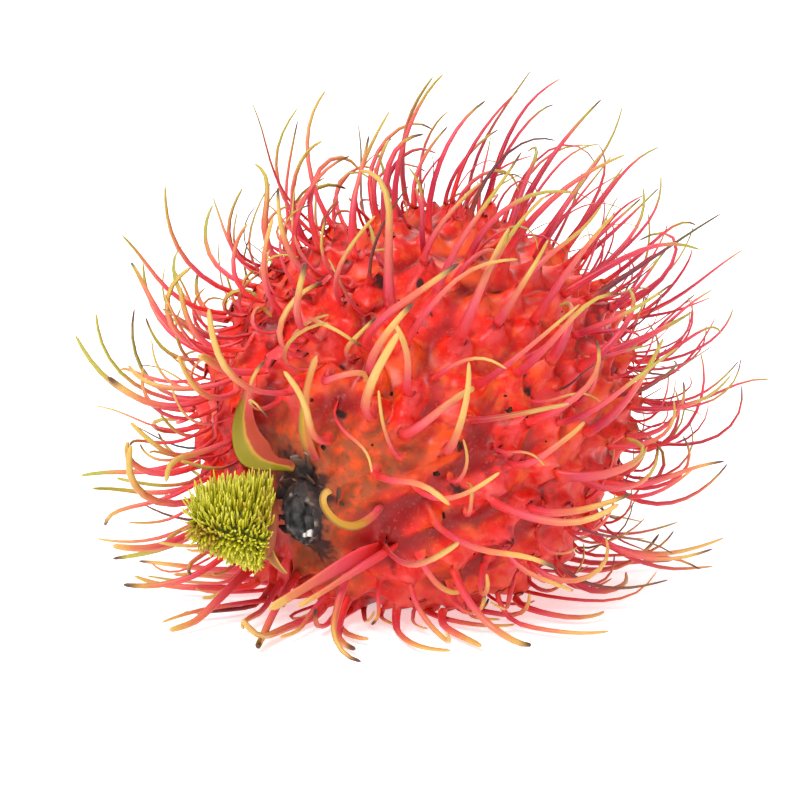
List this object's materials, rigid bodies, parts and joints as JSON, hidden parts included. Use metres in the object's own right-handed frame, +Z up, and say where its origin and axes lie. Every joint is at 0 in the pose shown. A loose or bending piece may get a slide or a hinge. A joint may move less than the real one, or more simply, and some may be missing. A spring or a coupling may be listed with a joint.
{
  "type": "rambutan",
  "caption": "Whole rambutan lying on its side: a leathery red rind covered in soft curved spines, with its broken stalk and a small bristly green fruitlet beside it.",
  "frame": {"origin": "middle of the small flat spot that the fruit rests on", "axes": "+Z up, away from the surface it rests on; the stalk end points to -Y and a little to -X, and dips below level"},
  "size_m": [0.0699, 0.0722, 0.0524],
  "materials": {
    "rind": "satin red rind with paler, yellow-ended spines",
    "stalk": "dark, dry and rough, glossy in the hollow end",
    "fruitlet": "matt yellow-green bristles"
  },
  "bodies": {
    "root": {"rind": "rind", "stalk_stub": "stalk", "fruitlet": "fruitlet"}
  },
  "joints": []
}
